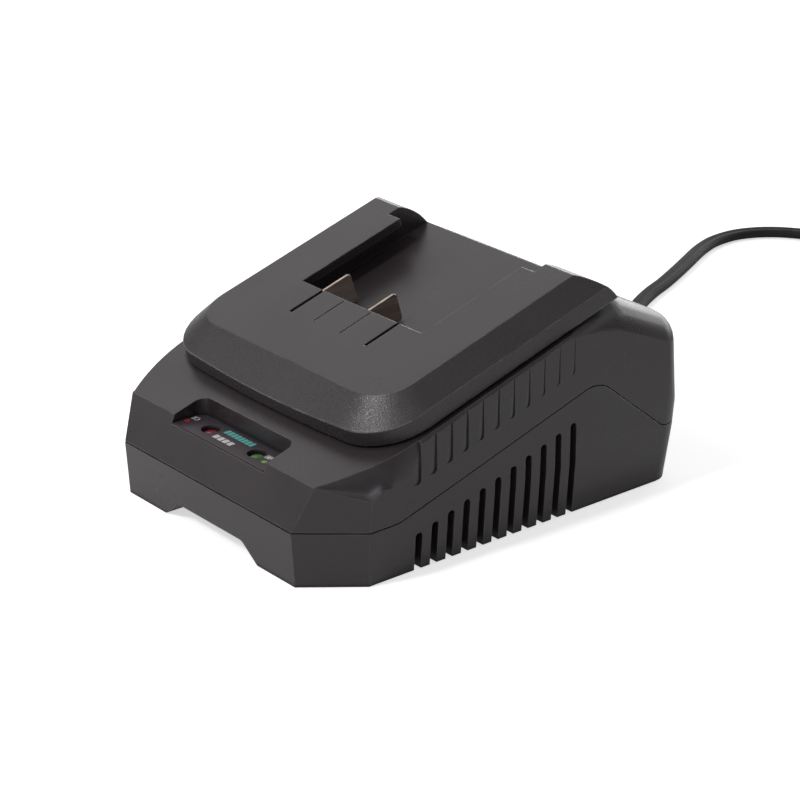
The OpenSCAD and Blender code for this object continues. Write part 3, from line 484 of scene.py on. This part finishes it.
# %% The cord's route
# In millimetres and degrees; FLOOR is the height of the cord's middle where it lies flat
FLOOR = 1.7
ROUTE = [(-36, 68, 17.5), (-36, 84, 17.5), (-36, 97.7, 17.5), (-36.5, 107, 15.5),
         (-38.5, 117, 11.5), (-41.5, 127, 7), (-45.5, 137, 3.5), (-50, 146.5, FLOOR),
         (-54.5, 155, FLOOR), (-58.5, 163.5, FLOOR), (-62, 172.5, FLOOR), (-66.5, 182.5, FLOOR),
         (-72, 194, FLOOR), (-78.5, 207.5, FLOOR), (-82, 219, FLOOR), (-81.5, 231, FLOOR),
         (-75.5, 242, FLOOR), (-64.5, 250.5, FLOOR), (-50.5, 256.5, FLOOR), (-36, 261, FLOOR),
         (-20, 265.5, FLOOR), (-4, 269.6, FLOOR), (12.4, 272.9, FLOOR)]
COIL_AT = Vector((20, 230, 0))
COIL_LIFT, LAYER, TURN = 0.8, 3.5, 5.5
TURN_RADII = [38.25, 32.75, 27.25, 21.75]
JOG_FROM, JOG_TO, LEAVE_AT = 100, 48, 37
LEAVE_RADIUS = 43.56
JOG_STEPS, TURN_STEPS, SPLINE_STEPS = 8, 40, 6
PLUG_ROUTE = [(54.8, 256.2, 5.9), (65, 252, 3.6), (75, 246, 2.2), (82, 238, 2.2),
              (86, 229, 4.4), (87, 220, 7)]


def spline(points, steps):
    """A smooth line through the points."""
    points = [Vector(p) for p in points]
    last = len(points) - 1
    line = []
    for i in range(last):
        a, b, c, d = (points[max(i - 1, 0)], points[i], points[i + 1], points[min(i + 2, last)])
        for k in range(steps):
            t = k / steps
            line.append(0.5 * (2 * b + (c - a) * t + (2 * a - 5 * b + 4 * c - d) * t * t
                               + (3 * b - a - 3 * c + d) * t ** 3))
    return line + [points[last]]


def eased(t):
    """A way from 0 to 1 that starts and ends gently."""
    return t * t * (3 - 2 * t)


def coil_line():
    """Eight turns: four inwards on the table, four outwards on top of them."""
    stops = [(TURN_RADII[0] + TURN, 0)]
    stops += [(radius, 0) for radius in TURN_RADII]
    stops += [(radius, 1) for radius in reversed(TURN_RADII)]
    heights = [COIL_LIFT + LAYER / 2, COIL_LIFT + LAYER * 1.5]
    line = []

    def put(angle, radius, height):
        angle = math.radians(angle)
        line.append(COIL_AT + Vector((radius * math.cos(angle), radius * math.sin(angle), height)))

    for turn in range(len(stops) - 1):
        (r0, low), (r1, high) = stops[turn], stops[turn + 1]
        z0 = FLOOR if turn == 0 else heights[low]
        for k in range(JOG_STEPS):
            t = eased(k / JOG_STEPS)
            put(JOG_FROM + (JOG_TO - JOG_FROM) * k / JOG_STEPS, r0 + (r1 - r0) * t,
                z0 + (heights[high] - z0) * t)
        for k in range(TURN_STEPS):
            put(JOG_TO - (360 - JOG_FROM + JOG_TO) * k / TURN_STEPS, r1, heights[high])
    for k in range(JOG_STEPS):
        put(JOG_FROM + (LEAVE_AT - JOG_FROM) * k / JOG_STEPS,
            TURN_RADII[0] + (LEAVE_RADIUS - TURN_RADII[0]) * eased(k / JOG_STEPS), heights[1])
    return line


route = [p * MM for p in spline(ROUTE, SPLINE_STEPS)[:-1] + coil_line()
         + spline(PLUG_ROUTE, SPLINE_STEPS)]
cord_length = sum((b - a).length for a, b in zip(route, route[1:]))
print("cord:", len(route), "rings,", round(cord_length, 3), "m")

# %% Sweep the flat section along the route


def finish_mesh(name, bm, material, smooth=True):
    """Turns a bmesh into a linked object with one material."""
    mesh = bpy.data.meshes.new(name)
    bm.to_mesh(mesh)
    bm.free()
    if smooth:
        mesh.shade_smooth()
    piece = bpy.data.objects.new(name, mesh)
    bpy.context.scene.collection.objects.link(piece)
    mesh.materials.append(material)
    return piece


def applied(piece):
    """The piece with its modifiers worked into a plain mesh."""
    mesh = bpy.data.meshes.new_from_object(
        piece.evaluated_get(bpy.context.evaluated_depsgraph_get()))
    piece.modifiers.clear()
    piece.data = mesh
    mesh.name = piece.name
    return piece


def flat_section(width, height, count=32):
    """A flat cord's outline: two round cores side by side under one jacket."""
    points = []
    for k in range(count):
        a = 2 * math.pi * k / count
        x = math.copysign(abs(math.cos(a)) ** 0.75, math.cos(a))
        y = math.copysign(abs(math.sin(a)) ** 0.75, math.sin(a))
        dip = 1 - 0.34 * math.exp(-(x * 3.4) ** 2)
        points.append((x * width / 2, y * height / 2 * dip))
    return points


def swept(name, line, section, material):
    """A closed tube through rings set square to the line."""
    bm = bmesh.new()
    rings = []
    for i, centre in enumerate(line):
        along = (line[min(i + 1, len(line) - 1)] - line[max(i - 1, 0)]).normalized()
        across = along.cross(Vector((0, 0, 1))).normalized()
        up = across.cross(along)
        rings.append([bm.verts.new(centre + across * x + up * y) for x, y in section])
    count = len(section)
    for a, b in zip(rings, rings[1:]):
        for k in range(count):
            bm.faces.new((a[k], a[(k + 1) % count], b[(k + 1) % count], b[k]))
    bm.faces.new(rings[0][::-1])
    bm.faces.new(rings[-1])
    bmesh.ops.recalc_face_normals(bm, faces=bm.faces)
    return finish_mesh(name, bm, material)


cord_black = grained("cord_black", rgb(24, 22, 23), 0.62, size=0.8, depth=0.12, sheen_and_wear=0, edge=0.2,
                     Specular_IOR_Level=0.3)
flex = swept("mains_cord", route, flat_section(5.4 * MM, 3.4 * MM), cord_black)
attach(flex, "root")
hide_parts("cord", "cord_coil", "cord_tail")

# %% [markdown]
# ## Rounding the solids
# Real mouldings have no sharp edges: even a crisp one is rounded by some tenths of a
# millimetre, and that thin round is what catches the light. The CAD solids are sharp, so
# each shell is copied, its flat areas are joined into whole faces, and a Bevel modifier
# rounds every edge. Weighted normals keep the big faces flat beside the rounds.

# %% Copy a solid and round its edges


def dressed(name, node, material, width=0.3, angle=28, segments=3, planar=0.4):
    """A rounded copy of one solid, which it replaces."""
    bm = bmesh.new()
    bm.from_mesh(solids[node].data)
    bmesh.ops.remove_doubles(bm, verts=bm.verts, dist=2e-6)
    bmesh.ops.dissolve_limit(bm, angle_limit=math.radians(planar), verts=bm.verts,
                             edges=bm.edges, use_dissolve_boundaries=False)
    piece = finish_mesh(name, bm, material)
    rounding = piece.modifiers.new("rounding", "BEVEL")
    rounding.width, rounding.segments = width * MM, segments
    rounding.limit_method, rounding.angle_limit = "ANGLE", math.radians(angle)
    rounding.use_clamp_overlap = True
    rounding.miter_outer = "MITER_ARC"
    weights = piece.modifiers.new("weights", "WEIGHTED_NORMAL")
    weights.keep_sharp = True
    applied(piece)
    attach(piece, "root")
    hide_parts(node)
    print(name, len(piece.data.polygons), "faces")


dressed("lower_shell", "lower_housing", housing_black)
dressed("upper_shell", "upper_housing", housing_black)
dressed("dock_shell", "battery_dock", dock_black)

# %% [markdown]
# ## The small parts
# The contact blades, the printed panel, the lamps, the strain relief and the plug are seen from
# close by, so their edges are rounded too, each by its own amount. The parts inside keep their
# solids and get their finish.

# %% Round the small parts that show
SMALL_PARTS = [
    # piece, solid, finish, record slot, rounding in mm
    ("left_blade", "positive_blade", rolled_bronze, "contact_bronze", 0.12),
    ("right_blade", "negative_blade", rolled_bronze, "contact_bronze", 0.12),
    ("blade_holder", "terminal_block", natural_nylon, "insulator", 0.15),
    ("lamp_panel", "indicator_label", panel_film, "label_film", 0.06),
    ("cord_relief", "strain_relief", relief_rubber, "plug_plastic", 0.25),
    ("coil_tie", "cord_tie", tie_nylon, "tie_plastic", 0.12),
    ("plug_body", "mains_plug", plug_rubber, "plug_plastic", 0.8),
    ("plug_prongs", "plug_pins", sleeved_pin, "pin_metal", 0.15),
    ("case_screws", "housing_screws", zinc_plate, "screw_steel", 0.1),
]
for name, node, finish, record_slot, rounding in SMALL_PARTS:
    dressed(name, node, finish, width=rounding, angle=35)

# %% [markdown]
# ## The lamps
# A lamp of this kind is cast epoxy: a flange at its foot, a barrel and a low dome that just
# fills the hole in the panel. It is turned from one profile, ring by ring.

# %% Turn the two lamps


def turned(name, profile, centre, material, count=48):
    """A closed solid of revolution about a vertical axis; profile is (radius, height) in mm."""
    bm = bmesh.new()
    rings = []
    for radius, height in profile:
        if radius == 0:
            rings.append([bm.verts.new((centre[0] * MM, centre[1] * MM, height * MM))])
            continue
        rings.append([bm.verts.new(((centre[0] + radius * math.cos(2 * math.pi * k / count)) * MM,
                                    (centre[1] + radius * math.sin(2 * math.pi * k / count)) * MM,
                                    height * MM)) for k in range(count)])
    for low, high in zip(rings, rings[1:]):
        for k in range(count):
            n = (k + 1) % count
            if len(low) == 1:
                bm.faces.new((low[0], high[n], high[k]))
            elif len(high) == 1:
                bm.faces.new((low[k], low[n], high[0]))
            else:
                bm.faces.new((low[k], low[n], high[n], high[k]))
    bmesh.ops.recalc_face_normals(bm, faces=bm.faces)
    return finish_mesh(name, bm, material)


LAMP_X, LAMP_Y = 10.75, -56.3
BARREL, DOME_FOOT, DOME_RISE = 2.5, 25.0, 1.04
lamp_profile = [(0, 18.4), (2.75, 18.4), (2.9, 18.55), (2.9, 19.3), (2.8, 19.4), (2.55, 19.45)]
lamp_profile += [(BARREL, 19.6), (BARREL, 24.9)]
lamp_profile += [(BARREL * math.cos(a), DOME_FOOT + DOME_RISE * math.sin(a))
                 for a in (math.radians(9 * k) for k in range(1, 10))]
lamp_profile += [(0, DOME_FOOT + DOME_RISE)]
for name, x, finish, node, record_slot in (
        ("red_lamp", -LAMP_X, red_epoxy, "red_led", "red_lens"),
        ("green_lamp", LAMP_X, green_epoxy, "green_led", "green_lens")):
    lamp = turned(name, lamp_profile, (x, LAMP_Y), finish)
    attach(lamp, "root")
    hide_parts(node)
    print(name, len(lamp.data.polygons), "faces")

# %% [markdown]
# ## Signs on the lamp panel
# Beside each lamp a dot shows its colour, and a small battery says what it means: half filled
# for charging and filled for ready. Two rows of bars stand between them. All of it is printed
# ink, so each sign is a plate of a few hundredths of a millimetre. The rows of bars are made with
# Geometry Nodes, which place one bar on each point of a line: count, step and size stay inputs.

# %% A row of bars with Geometry Nodes


def start_growth(name, vectors, numbers=(), counts=()):
    """A Geometry Nodes tree with named inputs, and those inputs' sockets."""
    tree = bpy.data.node_groups.new(name, "GeometryNodeTree")
    socket = tree.interface.new_socket
    socket("Geometry", in_out="INPUT", socket_type="NodeSocketGeometry")
    for labels, kind in ((counts, "NodeSocketInt"), (numbers, FLOAT), (vectors, VECTOR),
                         (("Material",), "NodeSocketMaterial")):
        for label in labels:
            socket(label, in_out="INPUT", socket_type=kind)
    socket("Geometry", in_out="OUTPUT", socket_type="NodeSocketGeometry")
    return tree, tree.nodes.new("NodeGroupInput").outputs


def end_growth(tree, given, shape):
    """Makes all instances real, gives them their material and puts them out."""
    real = add(tree, "GeometryNodeRealizeInstances", {"Geometry": shape})
    paint = add(tree, "GeometryNodeSetMaterial",
                {"Geometry": real.outputs["Geometry"], "Material": given["Material"]})
    add(tree, "NodeGroupOutput", {"Geometry": paint.outputs["Geometry"]})
    return tree


def build_bar_row():
    """A tree that sets equal bars along a line."""
    tree, given = start_growth("bar_row", ("Start", "Step", "Size"), counts=("Count",))
    line = add(tree, "GeometryNodeMeshLine", {
        "Count": given["Count"], "Start Location": given["Start"], "Offset": given["Step"]},
        mode="OFFSET")
    bar = add(tree, "GeometryNodeMeshCube", {"Size": given["Size"]})
    row = add(tree, "GeometryNodeInstanceOnPoints",
              {"Points": line.outputs["Mesh"], "Instance": bar.outputs["Mesh"]})
    return end_growth(tree, given, row.outputs["Instances"])


def grown(name, tree, **values):
    """Runs a Geometry Nodes tree with its inputs set and keeps the result as a plain mesh."""
    piece = bpy.data.objects.new(name, bpy.data.meshes.new(name))
    bpy.context.scene.collection.objects.link(piece)
    modifier = piece.modifiers.new("grow", "NODES")
    modifier.node_group = tree
    keys = {item.name: item.identifier for item in tree.interface.items_tree
            if item.in_out == "INPUT"}
    for label, value in values.items():
        modifier[keys[label.replace("_", " ")]] = value
    return applied(piece)


bar_row = build_bar_row()
PANEL_TOP, INK = 26.8, 0.05
ink_teal, ink_white, ink_red, ink_green = (
    grained(name, colour, 0.5, size=0.15, depth=0.1, sheen_and_wear=0, edge=0.02)
    for name, colour in (("ink_teal", rgb(98, 176, 170)), ("ink_white", rgb(214, 208, 208)),
                         ("ink_red", rgb(168, 40, 44)), ("ink_green", rgb(120, 168, 84))))


def bars(name, start, step, size, count, ink):
    """A printed row of bars; places and sizes in millimetres on the panel."""
    piece = grown(name, bar_row, Count=count, Material=ink,
                  Start=[start[0] * MM, start[1] * MM, (PANEL_TOP + INK / 2) * MM],
                  Step=[step * MM, 0.0, 0.0], Size=[size[0] * MM, size[1] * MM, INK * MM])
    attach(piece, "root")
    print(name, count, "bars")


bars("charge_bars", (-5.9, -53.95), 1.62, (1.3, 2.3), 8, ink_teal)
bars("state_bars", (-5.5, -58.15), 2.2, (1.75, 2.1), 4, ink_white)

# %% Dots and battery signs


def plate(bm, outline, index):
    """A thin printed plate from an outline in millimetres, in material slot index."""
    low = [bm.verts.new((x * MM, y * MM, PANEL_TOP * MM)) for x, y in outline]
    high = [bm.verts.new((x * MM, y * MM, (PANEL_TOP + INK) * MM)) for x, y in outline]
    faces = [bm.faces.new(high), bm.faces.new(low[::-1])]
    for k in range(len(outline)):
        n = (k + 1) % len(outline)
        faces.append(bm.faces.new((low[k], low[n], high[n], high[k])))
    for face in faces:
        face.material_index = index


def dot(centre, radius, count=28):
    """A round outline."""
    return [(centre[0] + radius * math.cos(2 * math.pi * k / count),
             centre[1] + radius * math.sin(2 * math.pi * k / count)) for k in range(count)]


def battery_sign(bm, x, y, wide, high, filled, index):
    """A frame with a nub at its end; filled says how much of it is solid."""
    rim, nub = 0.22, 0.3
    right, top = x + wide, y + high
    solid = (wide - 4 * rim) * filled
    for left, low, end, up in (
            (x, y, right, y + rim), (x, top - rim, right, top),
            (x, y + rim, x + rim, top - rim), (right - rim, y + rim, right, top - rim),
            (right, y + high * 0.3, right + nub, y + high * 0.7),
            (x + 2 * rim, y + 2 * rim, x + 2 * rim + solid, top - 2 * rim)):
        plate(bm, [(left, low), (end, low), (end, up), (left, up)], index)


signs = bmesh.new()
plate(signs, dot((-19.84, -57.9), 0.85), 0)
plate(signs, dot((16.6, -58.2), 0.85), 1)
battery_sign(signs, -20.6, -56.1, 2.3, 1.8, 0.45, 2)
battery_sign(signs, 14.1, -56.4, 2.1, 1.8, 1, 2)
bmesh.ops.recalc_face_normals(signs, faces=signs.faces)
panel_signs = finish_mesh("panel_signs", signs, ink_red, smooth=False)
panel_signs.data.materials.append(ink_green)
panel_signs.data.materials.append(ink_white)
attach(panel_signs, "root")
print("panel signs:", len(panel_signs.data.polygons), "faces")

# %% [markdown]
# ## Choke winding
# The mains choke is a ferrite ring with two windings of enamelled wire, one on each side. A
# winding follows a rule: while the point runs along the ring it also circles the ring's
# section once for every turn. Geometry Nodes turn that rule into a line and give it thickness.

# %% A winding round a ring with Geometry Nodes
CHOKE_AT = Vector((-29, 26.5, 20.6)) * MM
STEPS_PER_TURN = 24


def build_ring_winding():
    """A tree that winds a wire round a ring whose axis is Y."""
    tree, given = start_growth(
        "ring_winding", ("Centre",),
        ("Turns", "Ring radius", "Half depth", "Half width", "Start", "Sweep", "Wire radius"))

    def squared(wave, reach):
        """A cosine or sine pressed outwards, so that the section is nearly square."""
        size = calc(tree, "POWER", calc(tree, "ABSOLUTE", wave), 0.55)
        return calc(tree, "MULTIPLY", calc(tree, "MULTIPLY", size, calc(tree, "SIGN", wave)),
                    reach)

    count = calc(tree, "MULTIPLY_ADD", given["Turns"], STEPS_PER_TURN, 1)
    line = add(tree, "GeometryNodeMeshLine", {"Count": count}, mode="OFFSET")
    index = add(tree, "GeometryNodeInputIndex").outputs[0]
    part = calc(tree, "DIVIDE", index, calc(tree, "SUBTRACT", count, 1))
    ring_angle = calc(tree, "MULTIPLY_ADD", part, given["Sweep"], given["Start"])
    turn_angle = calc(tree, "MULTIPLY", part,
                      calc(tree, "MULTIPLY", given["Turns"], 2 * math.pi))
    outward = calc(tree, "ADD", given["Ring radius"],
                   squared(calc(tree, "COSINE", turn_angle), given["Half depth"]))
    place = add(tree, "ShaderNodeCombineXYZ", {
        0: calc(tree, "MULTIPLY", outward, calc(tree, "COSINE", ring_angle)),
        1: squared(calc(tree, "SINE", turn_angle), given["Half width"]),
        2: calc(tree, "MULTIPLY", outward, calc(tree, "SINE", ring_angle))})
    moved = add(tree, "ShaderNodeVectorMath", {0: place.outputs[0], 1: given["Centre"]},
                operation="ADD")
    wound = add(tree, "GeometryNodeSetPosition",
                {"Geometry": line.outputs["Mesh"], "Position": moved.outputs[0]})
    curve = add(tree, "GeometryNodeMeshToCurve", {"Mesh": wound.outputs["Geometry"]})
    section = add(tree, "GeometryNodeCurvePrimitiveCircle",
                  {"Resolution": 8, "Radius": given["Wire radius"]})
    wire = add(tree, "GeometryNodeCurveToMesh", {
        "Curve": curve.outputs["Curve"], "Profile Curve": section.outputs["Curve"],
        "Fill Caps": True})
    return end_growth(tree, given, wire.outputs["Mesh"])


ring_winding = build_ring_winding()
for name, start in (("left_winding", 112), ("right_winding", -68)):
    winding = grown(name, ring_winding, Turns=10.0, Ring_radius=7 * MM, Half_depth=2.6 * MM,
                    Half_width=4.6 * MM, Start=math.radians(start), Sweep=math.radians(136),
                    Wire_radius=0.42 * MM, Centre=list(CHOKE_AT), Material=enamelled)
    winding.data.shade_smooth()
    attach(winding, "root")
    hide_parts("choke_winding")
    print(name, len(winding.data.polygons), "faces")

# %% The choke's foot
FOOT_AT, FOOT_SIZE = Vector((-29, 26.5, 10.3)) * MM, Vector((18, 12, 1.4)) * MM
foot = bmesh.new()
bmesh.ops.create_cube(foot, size=1, matrix=Matrix.Translation(FOOT_AT)
                      @ Matrix.Diagonal((*FOOT_SIZE, 1)))
bmesh.ops.bevel(foot, geom=foot.edges[:], offset=0.4 * MM, segments=3, profile=0.5,
                affect="EDGES")
choke_foot = finish_mesh("choke_foot", foot, natural_nylon)
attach(choke_foot, "root")

# %% Finish the solids that stay
FINISHES = {
    "indicator_board": board_green, "main_board": board_green,
    "transformer_core": ground_ferrite, "transformer_winding": yellow_tape,
    "bulk_capacitor": sleeve_blue, "output_capacitors": sleeve_blue,
    "output_inductor": enamelled, "choke_core": ground_ferrite,
    "film_capacitor": film_yellow, "varistor": dipped_blue, "fuse": fuse_cap,
    "bridge_rectifier": moulded_resin, "control_chips": moulded_resin,
    "power_transistor": tabbed_device, "output_diode": tabbed_device,
    "primary_heat_sink": drawn_aluminium, "output_heat_sink": drawn_aluminium,
    "mains_leads": mains_wire, "output_leads": output_wire, "indicator_leads": tinned,
    "dock_screws": zinc_plate, "board_screws": zinc_plate,
}
for node, finish in FINISHES.items():
    solids[node].data.materials.clear()
    solids[node].data.materials.append(finish)
print(len(FINISHES), "solids finished in place")

# %% [markdown]
# ## Studio
# The set is a white table with large softboxes round it and a pale surround. The lamps give the
# light at a plain level, so that colours come out about as they are written. The surround
# looks white to the camera, and is weaker in reflections and as light. The three small lamps
# only draw highlights, along the rounded edges and in the hollowed corner of the housing.

# %% Table, surround and lamps


def make_floor(size, seen_lift, mirrored_lift):
    """A large white table top, lifted for the camera and less so for reflections."""
    bm = bmesh.new()
    bmesh.ops.create_grid(bm, x_segments=1, y_segments=1, size=size)
    material, tree, shader = start_material(
        "table_white", Base_Color=(0.9, 0.9, 0.9, 1), Roughness=0.85,
        Emission_Color=(1, 1, 1, 1))
    path = add(tree, "ShaderNodeLightPath").outputs
    seen = calc(tree, "MAXIMUM", calc(tree, "MULTIPLY", path["Is Camera Ray"], seen_lift),
                calc(tree, "MULTIPLY", path["Is Glossy Ray"], mirrored_lift))
    join(tree, (seen, shader.inputs["Emission Strength"]))
    floor = finish_mesh("table", bm, material, smooth=False)
    floor.location.z = -0.2 * MM


def make_surround(diffuse, glossy):
    """A pale surround: white to the camera, weaker in reflections and as light."""
    world = bpy.data.worlds.new("surround")
    bpy.context.scene.world = world
    world.use_nodes = True
    tree = world.node_tree
    tree.nodes.clear()
    path = add(tree, "ShaderNodeLightPath").outputs
    seen = calc(tree, "MAXIMUM", path["Is Camera Ray"], path["Is Transmission Ray"])
    mirrored = remap(tree, path["Is Glossy Ray"], 0, 1, diffuse, glossy)
    strength = add(tree, "ShaderNodeMix", {"Factor": seen, "A": mirrored, "B": 1},
                   data_type="FLOAT")
    background = add(tree, "ShaderNodeBackground",
                     {"Color": (1, 1, 1, 1), "Strength": strength.outputs["Result"]})
    add(tree, "ShaderNodeOutputWorld", {"Surface": background.outputs[0]})


def softbox(name, place, target, width, height, power, colour=(1, 1, 1)):
    """A rectangular lamp aimed at a point."""
    data = bpy.data.lights.new(name, "AREA")
    data.shape, data.size, data.size_y = "RECTANGLE", width, height
    data.energy, data.color = power, colour
    lamp = bpy.data.objects.new(name, data)
    bpy.context.scene.collection.objects.link(lamp)
    lamp.location = Vector(place)
    lamp.rotation_mode = "QUATERNION"
    lamp.rotation_quaternion = (Vector(place) - Vector(target)).to_track_quat("Z", "Y")


bpy.context.scene.view_settings.view_transform = "Standard"
make_floor(4, 0.62, 0.18)
make_surround(0.07, 0.32)
softbox("key_softbox", (-0.45, -0.55, 0.95), (0, 0, 0.02), 0.7, 0.7, 2.2)
softbox("top_softbox", (0.05, 0.05, 1.2), (0, 0, 0), 1.0, 1.0, 0.6)
softbox("rear_softbox", (0.0, 1.1, 0.7), (0, 0, 0.02), 1.0, 0.6, 1.8)
softbox("low_rear_softbox", (-0.4, 1.2, 0.25), (0, 0, 0.05), 1.4, 0.4, 6.0)
softbox("front_softbox", (-0.1, -1.1, 0.5), (0, 0, 0.02), 0.8, 0.6, 0.6)
softbox("left_softbox", (-0.9, 0.45, 0.85), (0, 0, 0.02), 1.0, 0.9, 2.1)
softbox("corner_softbox", (-0.06, -0.72, 0.83), (0.05, -0.04, 0.05), 0.08, 0.16, 3.8)
softbox("low_left_softbox", (-0.32, -0.27, 0.16), (-0.04, -0.05, 0.03), 0.16, 0.16, 0.09)
softbox("ledge_softbox", (0.54, -0.33, 0.85), (0.05, -0.05, 0.03), 0.12, 0.12, 0.85,
        (0.93, 0.95, 1.0))
